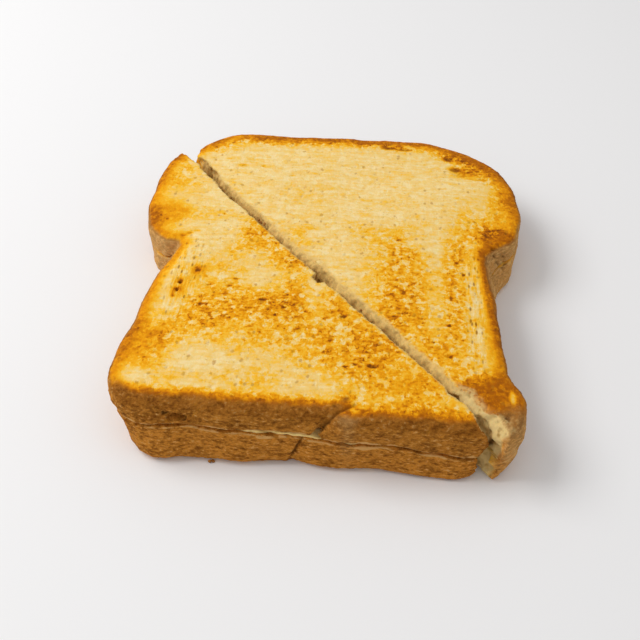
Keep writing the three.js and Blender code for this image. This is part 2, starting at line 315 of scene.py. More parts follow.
def finish_tree(tree, geometry, given):
    """Ends a Geometry Nodes tree with real geometry that has the given material."""
    real = add_node(tree, "GeometryNodeRealizeInstances", {"Geometry": geometry})
    coated = add_node(
        tree, "GeometryNodeSetMaterial", {"Geometry": real.outputs[0], "Material": given["Material"]},
    )
    add_node(tree, "NodeGroupOutput", {0: coated.outputs[0]})


def smooth_step(low, high, value):
    t = np.clip((value - low) / (high - low), 0, 1)
    return t * t * (3 - 2 * t)


def value_noise(points, size, seed):
    """Smooth noise from 0 to 1 whose bumps are size apart, at points in mm. Size may be one per axis."""
    cells = 32
    table = np.random.RandomState(seed).rand(cells, cells, cells)
    scaled = points / np.asarray(size)
    corner = np.floor(scaled).astype(int)
    part = scaled - corner
    part = part * part * (3 - 2 * part)
    total = np.zeros(len(points))
    for dx in (0, 1):
        for dy in (0, 1):
            for dz in (0, 1):
                share = (
                    (part[:, 0] if dx else 1 - part[:, 0])
                    * (part[:, 1] if dy else 1 - part[:, 1])
                    * (part[:, 2] if dz else 1 - part[:, 2])
                )
                total += share * table[
                    (corner[:, 0] + dx) % cells, (corner[:, 1] + dy) % cells, (corner[:, 2] + dz) % cells
                ]
    return total


def read_vectors(mesh, what):
    """Vertex positions or normals as rows of a numpy array."""
    values = np.zeros(len(mesh.vertices) * 3, np.float32)
    if what == "normals":
        mesh.vertex_normals.foreach_get("vector", values)
    else:
        mesh.vertices.foreach_get("co", values)
    return values.reshape(-1, 3).astype(float)


def write_positions(mesh, positions):
    mesh.vertices.foreach_set("co", positions.astype(np.float32).ravel())
    mesh.update()


def store(mesh, name, values):
    layer = mesh.attributes.get(name) or mesh.attributes.new(name, "FLOAT", "POINT")
    layer.data.foreach_set("value", values.astype(np.float32))


def merged_copy(node_name):
    """A new mesh from a solid's loose triangles, with its shared corners merged."""
    working = bmesh.new()
    working.from_mesh(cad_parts[node_name].data)
    bmesh.ops.remove_doubles(working, verts=working.verts, dist=SAME_CORNER * MM)
    mesh = bpy.data.meshes.new(node_name)
    working.to_mesh(mesh)
    working.free()
    return mesh


def applied(piece):
    """Replaces a piece's mesh by what its modifiers make of it, and removes them."""
    evaluated = piece.evaluated_get(bpy.context.evaluated_depsgraph_get())
    mesh = bpy.data.meshes.new_from_object(evaluated)
    old = piece.data
    piece.modifiers.clear()
    piece.data = mesh
    bpy.data.meshes.remove(old)
    return mesh


def fine_piece(name, node_name, step):
    """A finely and evenly meshed copy of a solid, as a new object."""
    piece = new_object(name, merged_copy(node_name))
    remesh = piece.modifiers.new("even mesh", "REMESH")
    remesh.mode = "VOXEL"
    remesh.voxel_size = step
    remesh.use_smooth_shade = True
    applied(piece)
    return piece


def cut_place(points, half):
    """Places along the cut, and distances from the half's cut face, in mm; positive inside the bread."""
    flat = points[:, :2] - BASE[:2]
    across = flat @ CUT_ACROSS
    face = CUT_OFFSET + CUT_LEAN * (points[:, 2] - TOP_Z) / TOP_Z
    inside = across - face if half == "back_half" else face - CUT_GAP - across
    return flat @ CUT_ALONG, inside


def along(table, where):
    """Values of a table of (place, value) rows at given places."""
    places, values = zip(*table)
    return np.interp(where, places, values)


def soft_patches(place, patches):
    """Sum of round patches with soft edges, each with its middle, half sizes along x and y, and height."""
    total = np.zeros(len(place))
    for x, y, half_width, half_length, height in patches:
        reach = ((place[:, 0] - x) / half_width) ** 2 + ((place[:, 1] - y) / half_length) ** 2
        total += height * np.exp(-reach ** 1.6)
    return total


def soft_lines(points, lines):
    """The strongest of soft-edged lines at each point, each with its two ends, half width and height."""
    total = np.zeros(len(points))
    for start, end, half_width, height in lines:
        start, run = np.array(start), np.subtract(end, start)
        share = np.clip((points - start) @ run / (run @ run), 0, 1)
        away = np.linalg.norm(points - start - share[:, None] * run, axis=1)
        total = np.maximum(total, height * np.exp(-(away / half_width) ** 3))
    return total


def face_tree(node_name, half, low, high, top):
    """Search tree of those faces of a solid whose normal's z lies from low to high and that aren't of
    the cut, of a fold's inner walls, or higher than top, in mm."""
    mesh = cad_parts[node_name].data
    corners = read_vectors(mesh, "positions")
    middles = np.array([corners[list(face.vertices)].mean(0) for face in mesh.polygons]) / MM
    place = middles - BASE
    kept = (cut_place(middles, half)[1] > 0.9) & (middles[:, 2] < top)
    for x, y, reach in INNER_FOLDS:
        kept &= np.hypot(place[:, 0] - x, place[:, 1] - y) > reach
    faces = [
        list(face.vertices) for face, keep in zip(mesh.polygons, kept) if keep and low < face.normal.z < high
    ]
    return BVHTree.FromPolygons([Vector(c) for c in corners], faces)


def distances(tree, points):
    """Distance in mm of each point, in mm, to the nearest face of a search tree."""
    return np.array([tree.find_nearest(Vector(p))[3] for p in points * MM]) / MM


# Toasting of the upper face, as soft patches: x and y in mm from the middle of the base, half
# width and half length in mm, and how much darker (or paler) the patch is.
TOAST_BASE = 0.17
TOAST_PATCHES = {
    "front_half": (
        (-14, 43, 34, 20, 0.36), (16, 22, 22, 14, 0.34), (-18, 42, 9, 6, 0.14), (-34, 45, 7, 9, 0.08),
        (-12, 51, 5, 6, 0.06), (14, 30, 7, 6, 0.1), (28, 14, 12, 7, 0.2),
        (-26, 81, 6, 9, 0.44), (-31, 71, 5, 5, 0.2),
        (-14, 71, 9, 9, 0.44), (-36, 64, 5, 6, 0.12), (-52, 25, 6, 11, 0.4), (-46, 30, 6, 7, 0.22),
        (-37, 39, 6, 9, 0.18), (-46, 15, 6, 6, 0.16), (-22, 15, 13, 4, 0.12), (-19, 56, 5, 6, -0.12),
        (-18, 12, 5, 3, 0.12), (-57, 88, 7, 8, 0.5), (-44, 88, 9, 4, 0.16), (-59, 110, 6, 10, 0.24),
        (-60, 121, 4, 3, 0.3), (-52, 103, 7, 5, 0.14), (-52, 12.5, 5, 3.5, -0.2), (-48, 51, 4, 8, -0.16),
        (-24, 57, 5, 5, -0.2), (-5, 49, 4, 9, -0.16), (-3, 16, 7, 4, -0.08), (-33, 20, 9, 4, -0.12),
    ),
    "back_half": (
        (22, 54, 14, 34, 0.34), (38, 68, 5, 24, 0.3), (36, 28, 9, 18, 0.28), (43, 14, 6, 8, 0.24),
        (48, 84, 6, 9, 0.45), (52, 99, 5, 9, 0.35), (42, 96, 5, 8, 0.15), (20, 46, 5, 10, 0.16),
        (50, 84.5, 5, 3.6, 0.45), (48, 74, 4, 7, 0.25), (49.5, 56, 5.5, 24, 0.42), (47, 16, 6, 6, 0.3),
        (50.8, 13.4, 0.95, 2.6, -0.85), (7, 80, 6, 7, 0.12),
        (20, 74, 5, 9, 0.1), (-14, 101, 12, 5, 0.12), (10, 85, 9, 4, 0.12), (30, 70, 3, 14, -0.16),
        (42, 48, 3, 24, -0.1), (30, 48, 3, 8, -0.1), (36, 14, 5, 6, 0.25), (45, 123, 8, 6, 0.3),
        (-47, 130, 8, 5, 0.25), (8, 138, 22, 4, 0.3), (38, 130, 9, 5, 0.3), (-30, 135, 12, 3, 0.25),
        (14, 88, 6, 5, -0.14), (41, 63, 4, 8, -0.12), (24, 79, 4, 5, -0.16), (31, 37, 3, 6, -0.12),
        (12, 139, 9, 3, 0.15), (42, 11, 8, 8, 0.34), (-13, 79, 5, 8, 0.2),
    ),
}
# Where the toasted rim is wide: the crown's far edge, its shoulders and the base's right corner.
WIDE_RIM = ((0, 138, 60, 14, 1.0), (52, 118, 18, 18, 1.0), (-60, 95, 10, 18, 0.15), (48, 12, 8, 10, 0.8))
# Where the toasted rim stays away from the fold at the front.
CLEAR_OF_RIM = ((6.5, 10.4, 6.5, 3.2, 1.0),)
# Where the toasting is even, with less mottling, and where the side crust is light.
EVEN_TOAST = (
    (-60, 90, 12, 20, 0.8), (54, 95, 8, 18, 0.6), (46, 13, 8, 9, 0.8), (-53, 26, 7, 16, 0.6),
    (24, 18, 14, 9, 0.45),
)
LIGHT_CRUST = (
    (-58, 72, 16, 16, 1.0), (55, 80, 14, 22, 0.8), (-52, 40, 8, 20, 0.4), (7.5, 2, 2.6, 2.4, 0.9),
    (52.5, 3, 5, 8, 0.7),
)
# Pale bands beside the flanks, with long grooves along them.
FLANK_BANDS = ((-46, 54, 5, 20, 1.0), (42, 48, 3.2, 30, 1.0))
# Scorched spots and small dents: x, y, half width and half length in mm, and how dark.
SCORCHED = (
    (-21, 47, 1.1, 0.7, 1.0), (-14, 44, 0.8, 0.7, 0.8), (-16, 40.3, 1.2, 0.5, 0.6),
    (-9, 35, 1.0, 0.6, 0.6), (3.4, 41.6, 1.2, 0.9, 1.1), (0, 43, 0.9, 0.6, 0.6),
    (6.3, 38.4, 1.4, 1.1, 0.4), (-7.5, 42.8, 0.9, 0.8, 0.5), (0.5, 31, 0.7, 0.5, 0.6),
    (5.4, 21.1, 1.0, 0.5, 0.9), (7.8, 22, 1.0, 0.6, 0.8), (12.8, 21.7, 1.8, 0.6, 1.1),
    (17, 20.6, 0.9, 0.9, 0.5), (-39, 43.6, 1.0, 0.8, 0.6), (-38.3, 52.4, 1.0, 0.6, 0.8),
    (-30.3, 56, 1.1, 0.5, 0.8), (-39.2, 56.2, 0.9, 0.4, 0.6), (-31.6, 52.6, 0.9, 0.6, 0.8),
    (-39, 88.9, 0.5, 0.6, 0.7), (-27.5, 71, 0.6, 0.6, 0.5), (-42.5, 58.8, 0.8, 0.8, 0.8),
    (-47, 53.1, 0.8, 1.0, 0.9), (-47.3, 49.8, 0.7, 0.7, 0.8), (-47.8, 46.5, 0.6, 0.7, 0.6),
    (-32, 28.3, 1.2, 1.0, 0.5), (-27.4, 22.6, 0.9, 0.7, 0.4), (-35.9, 33.8, 0.9, 1.3, 0.5),
    (18.7, 79.3, 1.0, 0.9, 0.6), (17.7, 72.5, 0.8, 1.4, 0.4), (20.9, 53.4, 0.9, 0.8, 0.7),
    (18.4, 56, 0.8, 0.6, 0.6), (21.7, 44.5, 0.7, 0.7, 0.8), (26.1, 42.3, 0.8, 0.5, 0.8),
    (18.5, 42.5, 0.9, 1.0, 0.5), (23.3, 51.3, 0.6, 0.8, 0.5), (35, 52.4, 0.6, 1.4, 0.8),
    (34.2, 40, 1.2, 0.5, 0.8), (29.9, 32.9, 0.45, 0.5, 1.2), (34.6, 27.2, 0.5, 0.6, 1.4),
    (39, 64, 0.6, 0.7, 1.4), (37, 69.7, 0.7, 0.7, 0.9), (39, 77.9, 0.7, 0.6, 0.6),
    (28.6, 71.9, 0.6, 0.5, 0.5), (-37.2, 117.8, 2.6, 0.9, 0.6), (-29.8, 117.9, 1.0, 0.9, 0.6),
    (-19.3, 112.5, 0.8, 0.5, 0.6), (40.2, 118.4, 4.2, 3.2, 0.55), (37, 121.8, 2.3, 1.7, 0.85),
    (35, 128.3, 2.0, 1.6, 0.9), (45, 115.6, 3.0, 0.6, 0.5), (13.4, 133.4, 3.0, 1.6, 0.8),
    (19.4, 132.8, 3.4, 1.3, 0.7), (-47, 1.5, 1.6, 1.4, 0.3), (-50.5, 76.5, 1.2, 0.7, 0.5),
    (-48.6, 77.5, 1.2, 0.8, 0.6), (-46.6, 78.8, 1.1, 0.7, 0.5),
)
# Cracks, darkened with painted shade: both ends, measured like the patches and from the floor, the half width
# in mm, and how deep. They are a slit on the left, a crack down the lower slice, the crease of the front
# fold, ribs under the right lobe, and a slit and a hole at the right corner.
CRACKS = (
    ((-42.0, 1.9, 15.3), (-39.2, 1.6, 14.7), 0.6, 0.8), ((-39.6, 1.6, 14.7), (-36.2, 1.5, 14.5), 0.8, 1.1),
    ((-4.5, 0.8, 10.3), (-7.9, 0.0, 2.2), 0.45, 0.7),
    ((9.3, 7.6, 17.8), (4.8, 4.2, 17.7), 0.5, 0.5), ((4.8, 4.2, 17.7), (2.3, 1.6, 16.4), 0.7, 0.6),
    ((2.3, 1.6, 16.4), (0.5, 1.3, 13.8), 0.8, 0.8), ((48.3, 78.0, 17.0), (52.8, 80.1, 12.4), 0.45, 0.65),
    ((49.1, 77.1, 15.3), (53.7, 81.7, 8.7), 0.5, 0.65), ((50.1, 77.4, 12.7), (53.1, 80.0, 7.5), 0.45, 0.55),
    ((49.9, 7.6, 17.6), (49.6, 5.8, 16.8), 0.4, 0.4), ((45.4, 3.9, 9.4), (45.4, 3.9, 10.2), 0.9, 0.9),
)

# Loose crumbs: x, y and z of their middles in mm.
CRUMBS = (
    (-29.8, -1.2, 0.4), (-29.0, -1.0, 0.3), (-27.4, 86.6, 17.4), (-26.4, 85.2, 17.7), (-25.2, 84.6, 17.6),
    (-12.2, 67.4, 17.0), (-9.6, 64.4, 16.4), (-6.4, 60.9, 16.9), (-34.8, 92.6, 15.5), (8.6, 46.9, 15.8),
)


def mask_bread(points, normals, node_name, half, is_upper):
    """What each vertex is, as shares: crust, cut crumb, worn edge, upper face, flank band, evenly
    toasted, light crust, scorched, torn tip and crack, and how toasted it is. A crack's darkness is
    painted shade."""
    place = points - BASE
    ragged = value_noise(points, 2.2, 11) - 0.5
    fine = value_noise(points, 0.9, 12) - 0.5
    edge = distances(face_tree(node_name, half, **SIDE_WALL), points)
    rim = distances(face_tree(node_name, half, **WALL_AND_RIM), points)
    rim += 4 * soft_patches(place, CLEAR_OF_RIM)
    where, depth = cut_place(points, half)

    # The cut face ends in a skin of crust, thick at the crown's end and thin at the base's.
    outwards = -CUT_ACROSS if half == "back_half" else CUT_ACROSS
    cut = smooth_step(0.3, 0.7, normals[:, :2] @ outwards + 0.3 * fine) * smooth_step(2.5, 1.5, depth)
    skin = 3.0 * smooth_step(-104, -112, where) + (0.8 * smooth_step(20, 30, where) if is_upper else 0)
    cut *= smooth_step(0.6, 2.2, edge + 1.2 * ragged - skin)

    # At the base the crust climbs over the rounded edge. Elsewhere that edge belongs to the face.
    near_base = smooth_step(13, 7, place[:, 1])
    side_crust = 1 - smooth_step(0.0, 1.4, edge + 0.6 * ragged)
    base_crust = 1 - smooth_step(0.8, 3.2, rim + 0.7 * ragged + 0.4 * fine)
    crust = np.maximum(side_crust, base_crust * near_base)
    face = smooth_step(0.3, 0.7, normals[:, 2]) * smooth_step(11, 13, points[:, 2])

    # The knife and the gap have worn the toasted skin off the edge along the cut.
    below = TOP_Z - points[:, 2]
    round_edge = along(WORN_EDGE, where) * (1 if half == "back_half" else 0.5)
    round_edge = round_edge * (1 + 0.25 * smooth_step(8, 22, where))
    worn = smooth_step(1.5, 0.4, np.hypot(np.maximum(depth, 0), below) / round_edge + 1.2 * ragged)
    worn *= smooth_step(0.5, 2.5, edge + ragged)

    # The face is toasted in patches, and in a band round its rim that is darkest along the base.
    flank = np.clip(soft_patches(place, FLANK_BANDS), 0, 1)
    wide = np.clip(soft_patches(place, WIDE_RIM), 0, 1)
    rim_band = (0.45 + 0.2 * wide) * np.exp(-((rim / (2.7 + 3.2 * wide)) ** 2)) + 0.12 * np.exp(-rim / 4)
    base_band = 0.82 * np.exp(-(np.clip(rim - 1.4, 0, None) / 4.1) ** 2)
    toast = TOAST_BASE + soft_patches(place, TOAST_PATCHES[half])
    toast += rim_band * (1 - near_base) + base_band * near_base
    tip = smooth_step(*TIP, where)
    masks = {
        "crust": crust * (1 - cut), "cut": cut, "worn": worn * (1 - 0.4 * tip), "tip": tip,
        "face": face * (1 - cut), "flank": flank * face, "toast": np.clip(toast, 0, 0.96),
        "even": np.maximum(np.exp(-((rim / 4.5) ** 2)), soft_patches(place, EVEN_TOAST)),
        "light_crust": np.clip(soft_patches(place, LIGHT_CRUST), 0, 1),
        "scorched": np.clip(soft_patches(place, SCORCHED), 0, 1) * face,
        "slit": soft_lines(place + 0.6 * fine[:, None], CRACKS),
    }
    if not is_upper:
        for name in ("worn", "face", "flank", "scorched"):
            masks[name] = np.zeros(len(points))
        masks["toast"] = np.full(len(points), TOAST_BASE) + 0.3 * np.exp(-rim / 3)
    return masks


def close_seam(points, node_name, half, is_upper, amount):
    """Bends a slice's edge towards the other slice, unevenly, so that the two nearly meet. Returns how
    near each vertex is to that edge."""
    seam = distances(face_tree(node_name, half, **(UPPER_SEAM if is_upper else LOWER_SEAM)), points)
    edge = distances(face_tree(node_name, half, **SIDE_WALL), points)
    uneven = 0.75 + 0.9 * (value_noise(points, (2.6, 2.6, 40), 21) - 0.5)
    cream_shows = soft_patches(points - BASE, ((-7, 0, 13, 9, 1.0),))
    near = np.exp(-((seam / 1.3) ** 2)) * np.exp(-edge / 1.4)
    direction = -1 if is_upper else 1
    # Both slices follow the seam up and down, except where the rigid filling shows.
    wander = 1.5 * (value_noise(points, (4.5, 4.5, 60), 22) - 0.5) * (1 - cream_shows)
    points[:, 2] += near * (direction * amount * uneven * (1 - 0.8 * cream_shows) + wander)
    return np.exp(-((seam / 0.55) ** 2)) * np.exp(-edge / 0.8)


def roughen_tip(points, half):
    """Makes the crumb lumpy where the cut ends at the loaf's base."""
    where, depth = cut_place(points, half)
    inwards = CUT_ACROSS if half == "back_half" else -CUT_ACROSS
    lumps = value_noise(points, 3.4, 51) + 0.6 * value_noise(points, 1.7, 52) - 0.8
    amount = 3.6 * lumps * smooth_step(6, 14, where) * smooth_step(4, 0, depth)
    points[:, :2] -= (amount * smooth_step(0, 1.5, points[:, 2]))[:, None] * inwards


def wear_cut(points, half):
    """Rounds the upper slice's edge along the cut, and lets its crumb bulge or break away there."""
    where, depth = cut_place(points, half)
    inwards = CUT_ACROSS if half == "back_half" else -CUT_ACROSS
    uneven = value_noise(points, 1.8, 31) - 0.5
    radius = along(WORN_EDGE, where) * (1 + 0.9 * uneven) * (1 if half == "back_half" else 0.6)
    left = radius - depth
    up = radius - (TOP_Z - points[:, 2])
    reach = np.hypot(left, up)
    cornered = (left > 0) & (up > 0) & (reach > radius)
    share = np.where(cornered, 1 - radius / np.maximum(reach, 1e-6), 0)
    points[:, :2] += (share * left)[:, None] * inwards
    points[:, 2] -= share * up

    near = smooth_step(6, 0, depth)
    if half == "back_half":
        level = smooth_step(3, 9, points[:, 2]) * (1 - 0.45 * smooth_step(15.5, 18, points[:, 2]))
        amount = -along(GAP_BULGE, where) * (1 + 0.8 * uneven)
    else:
        level = smooth_step(11, 14.5, points[:, 2])
        amount = along(BROKEN_EDGE, where) + 0.5 * uneven
    points[:, :2] += (amount * near * level)[:, None] * inwards


# The toasting level at which the crumb is dark brown; 0 is pale.
LEVEL_END = 1.25

# The crust's wrinkles run round the loaf: they are drawn out along x and y. The relief and the
# colour share them.
WRINKLE_STRETCH = (0.4, 0.4, 1.0)
WRINKLE_SIZE = 1.1


def relief_tree():
    """Geometry Nodes that give bread its wrinkled crust, uneven face, rough cut, cracks and pores."""
    lengths = (
        "Wrinkle height", "Crumb relief", "Cut relief", "Crack depth", "Pore radius", "Pore spacing",
        "Pore depth",
    )
    tree, given = geometry_tree("bread relief", (
        *((name, "Float") for name in lengths), ("Seed", "Int"), ("Material", "Material"),
    ))
    sums = Sums(tree)
    maths, times, plus = sums.maths, sums.times, sums.plus
    normal = add_node(tree, "GeometryNodeInputNormal").outputs[0]
    position = add_node(tree, "GeometryNodeInputPosition").outputs[0]

    def mask(name):
        return add_node(tree, "GeometryNodeInputNamedAttribute", {"Name": name}, data_type="FLOAT").outputs[0]

    def vectors(operation, a, b):
        return add_node(tree, "ShaderNodeVectorMath", {0: a, 1: b}, operation=operation).outputs[0]

    def noise(stretch, bump_size, detail):
        """Noise from -0.5 to 0.5, its bumps bump_size mm apart, drawn out along each axis by stretch."""
        drawn = vectors("MULTIPLY", position, stretch)
        texture = add_node(
            tree, "ShaderNodeTexNoise",
            {"Vector": drawn, "Scale": 1 / (bump_size * MM), "Detail": detail, "Roughness": 0.55},
        )
        return maths("SUBTRACT", texture.outputs[0], 0.5)

    def moved(geometry, height):
        """Geometry moved outwards by a height."""
        offset = add_node(tree, "ShaderNodeVectorMath", {0: normal, "Scale": height}, operation="SCALE")
        return add_node(
            tree, "GeometryNodeSetPosition", {"Geometry": geometry, "Offset": offset.outputs[0]},
        ).outputs[0]

    ridges = maths("SUBTRACT", 0.12, maths("ABSOLUTE", noise(WRINKLE_STRETCH, WRINKLE_SIZE, 2)))
    wrinkle = plus(noise((0.5, 0.5, 1), 3.5, 2), ridges, 3.0)
    lumps = maths("ADD", noise((1, 0.75, 1), 2.4, 2), noise((1, 1, 1), 7, 1))
    lumps = plus(lumps, times(noise((1, 0.16, 1), 1.3, 2), mask("flank")), 2.2)
    crags = plus(noise((1, 1, 1), 1.6, 2), noise((1, 1, 1), 4, 1), 0.7)
    height = times(wrinkle, given["Wrinkle height"], mask("crust"))
    height = plus(height, times(lumps, given["Crumb relief"], mask("face")))
    height = plus(height, times(crags, given["Cut relief"], mask("cut")))
    height = plus(height, times(mask("scorched"), given["Crumb relief"]), -0.9)
    height = plus(height, times(mask("slit"), given["Crack depth"]), -1.0)
    raised = moved(given["Geometry"], height)

    # Pores: scattered points, each with a share of the largest pore's size. A vertex belongs to the
    # nearest of them.
    open_crumb = maths("MAXIMUM", mask("face"), mask("cut"))
    scattered = add_node(
        tree, "GeometryNodeDistributePointsOnFaces",
        {
            "Mesh": raised, "Distance Min": given["Pore spacing"], "Density Max": 1.2e5,
            "Density Factor": open_crumb, "Seed": given["Seed"],
        },
        distribute_method="POISSON",
    )
    share = add_node(
        tree, "FunctionNodeRandomValue", {"Min": 0.3, "Max": 1.0, "Seed": given["Seed"]}, data_type="FLOAT",
    )
    sized = add_node(
        tree, "GeometryNodeStoreNamedAttribute",
        {
            "Geometry": scattered.outputs["Points"], "Name": "pore_share",
            "Value": maths("POWER", share.outputs[1], 3.0),
        },
        data_type="FLOAT", domain="POINT",
    ).outputs[0]
    nearest = add_node(tree, "GeometryNodeSampleNearest", {"Geometry": sized}, domain="POINT").outputs[0]

    def of_nearest(value, data_type):
        return add_node(
            tree, "GeometryNodeSampleIndex", {"Geometry": sized, "Value": value, "Index": nearest},
            data_type=data_type, domain="POINT",
        ).outputs[0]

    centre = of_nearest(position, "FLOAT_VECTOR")
    size_share = of_nearest(mask("pore_share"), "FLOAT")
    long_pore = (1.15, 0.8, 1.0)
    drawn = vectors("MULTIPLY", vectors("SUBTRACT", position, centre), long_pore)
    distance = add_node(tree, "ShaderNodeVectorMath", {0: drawn}, operation="LENGTH").outputs["Value"]
    pit = add_node(
        tree, "ShaderNodeMapRange",
        {
            "Value": maths("DIVIDE", distance, times(size_share, given["Pore radius"])),
            "From Min": 0.35, "From Max": 1.0, "To Min": 1.0, "To Max": 0.0,
        },
        interpolation_type="SMOOTHSTEP",
    ).outputs[0]
    pit = times(pit, open_crumb)
    pitted = moved(raised, times(pit, given["Pore depth"], size_share, -1.0))
    marked = add_node(
        tree, "GeometryNodeStoreNamedAttribute", {"Geometry": pitted, "Name": "pore", "Value": pit},
        data_type="FLOAT", domain="POINT",
    )
    finish_tree(tree, marked.outputs[0], given)
    return tree


def run_tree(piece, tree, values):
    """Runs a node tree on a piece with its inputs set by name, and leaves a plain mesh."""
    modifier = piece.modifiers.new(tree.name, "NODES")
    modifier.node_group = tree
    for item in tree.interface.items_tree:
        if item.item_type == "SOCKET" and item.in_out == "INPUT" and item.name in values:
            modifier[item.identifier] = values[item.name]
    return applied(piece)


def keep_in_box(mesh):
    """Holds a mesh inside the solids' box, and so its underside flat on the floor."""
    positions = read_vectors(mesh, "positions")
    write_positions(mesh, np.clip(positions, CAD_LOW, CAD_HIGH))


def toast_colour(looks, settings, loaf, warped, grain):
    """Colour of the toasted face, and the mottling in it."""
    mapped, noise, stretched = looks.mapped, looks.noise, looks.stretched
    plus, times = looks.plus, looks.times
    toast = looks.attribute("toast")
    islands = mapped(noise(warped, 2.0, 2.5, 0.6), 0.02, 0.1)
    flecks = mapped(noise(stretched(1, 0.6, 1), 1.2), 0.1, 0.2)
    mottle = plus(times(noise(warped, 1.8, 1.5), 0.7), noise(loaf, 5.5), 0.45)
    mottle = plus(mottle, grain, 0.6)
    mottle = plus(mottle, noise(stretched(0.7, 1, 1), 1.2, 1.5))
    mottle = plus(mottle, islands, -0.36)
    mottle = plus(looks.maths("ADD", mottle, 0.07), flecks, 0.26)
    contrast = times(
        mapped(toast, 0.2, 0.6, 0.34, 1.0), mapped(looks.attribute("even"), 0.1, 0.8, 1.0, 0.3),
    )
    level = plus(toast, mottle, contrast)
    # The pale crumb shows the loaf's fibres and broad bands instead.
    level = plus(level, noise(stretched(0.3, 1, 1), 1.1), mapped(toast, 0.2, 0.5, 0.6, 0.0))
    level = plus(level, noise(stretched(0.4, 1, 1), 3.6), mapped(toast, 0.2, 0.5, 0.55, 0.1))
    spot = looks.spots(warped, 2.3, 0.1, 0.3, 0.6, 0.8)
    level = plus(level, times(spot, mapped(toast, 0.25, 0.6)), 0.24)
    streaks = noise(stretched(1, 0.14, 1), 0.9, 2.5, 0.6)
    level = plus(level, times(streaks, looks.attribute("flank")), -1.4)
    level = plus(level, looks.attribute("scorched"), 0.6)
    ramp = add_node(looks.tree, "ShaderNodeValToRGB", {"Fac": times(level, 1 / LEVEL_END)})
    stops = (
        (0.0, settings.pale_colour), (0.24, settings.crumb_colour), (0.44, settings.golden_colour),
        (0.62, settings.amber_colour), (0.8, settings.orange_colour), (1.0, settings.brown_colour),
        (LEVEL_END, settings.dark_colour),
    )
    while len(ramp.color_ramp.elements) < len(stops):
        ramp.color_ramp.elements.new(1.0)
    for element, (where, colour) in zip(ramp.color_ramp.elements, stops):
        element.position = where / LEVEL_END
        element.color = rgba(colour)
    return ramp.outputs["Color"], mottle


def crust_colour(looks, settings, shade):
    """Colour of the side crust, with painted shade in its creases and dents and painted highlights on its
    standing flakes and at the seam, and the height of its flakes over its wrinkles.
    """
    mapped, mixed, noise, plus, times = looks.mapped, looks.mixed, looks.noise, looks.plus, looks.times
    wrinkled = looks.stretched(*WRINKLE_STRETCH)
    ridges = looks.maths("ABSOLUTE", noise(wrinkled, WRINKLE_SIZE))
    flakes = noise(wrinkled, 0.6, 3.0, 0.7)
    blotch = noise(looks.stretched(0.5, 0.5, 1), 2.2, 3.0, 0.65)
    light = looks.attribute("light_crust")
    light_and_highlight = rgba(settings.light_crust_and_highlight_colour)
    # Painted shade where the flakes lie low, mixed with random blotches of darker crust.
    colour = mixed(
        mapped(plus(flakes, blotch, 0.6), -0.26, 0.14),
        rgba(settings.dark_crust_and_shade_colour, shade), rgba(settings.crust_colour, shade),
    )
    # Painted highlight where the flakes stand out, stronger where the crust is light.
    colour = mixed(mapped(plus(flakes, light, 0.12), 0.06, 0.26, 0.0, 0.9), colour, light_and_highlight)
    # Painted shade in the creases between the wrinkles.
    crease_shade = times(mapped(ridges, 0.0, 0.03, 1.0, 0.0), mapped(blotch, -0.1, 0.15, 0.45, 0.1))
    crease_shade = times(crease_shade, mapped(light, 0.0, 1.0, 1.0, 0.4))
    colour = mixed(crease_shade, colour, rgba(settings.dark_crust_and_shade_colour, 0.8))
    colour = mixed(times(light, 0.55), colour, light_and_highlight)
    # Where the crust turns into the face it is darker, and the slices' edges at the seam get a painted
    # highlight.
    turned = mapped(looks.attribute("face"), 0.55, 1.0, 0.0, 0.42)
    colour = mixed(turned, colour, rgba(settings.brown_colour, 0.36))
    seam_highlight = mapped(plus(blotch, looks.attribute("seam"), 0.6), 0.42, 0.6, 0.0, 0.7)
    return mixed(seam_highlight, colour, light_and_highlight), looks.maths("SUBTRACT", flakes, ridges)


def cut_colour(looks, settings, crumb_grain):
    """Colour of the untoasted crumb at the cut: painted shade low down in the gap and in hollows at the torn
    tip, which is otherwise pale.
    """
    mapped, mixed, times = looks.mapped, looks.mixed, looks.times
    plain = looks.stretched(1, 1, 1)
    tip = looks.attribute("tip")
    colour = mixed(
        mapped(crumb_grain, -0.16, 0.14), rgba(settings.cut_colour, 0.74), rgba(settings.cut_colour),
    )
    colour = mixed(times(tip, 0.55), colour, rgba(settings.pale_colour, 0.85))
    # Painted shade in the hollows of the torn tip.
    hollow_shade = mapped(looks.noise(plain, 3.2), -0.16, 0.0, 0.7, 0.0)
    colour = mixed(times(tip, hollow_shade), colour, rgba(settings.cut_shade_colour, 0.7))
    # Painted shade: the lower the crumb lies in the gap, the darker it is.
    height = add_node(looks.tree, "ShaderNodeSeparateXYZ", {0: plain}).outputs[2]
    gap_shade = mapped(looks.plus(height, crumb_grain, 4.0), 15.0, 8.0, 0.0, 0.7)
    gap_shade = times(gap_shade, mapped(tip, 0.0, 1.0, 1.0, 0.1))
    return mixed(gap_shade, colour, rgba(settings.cut_shade_colour))


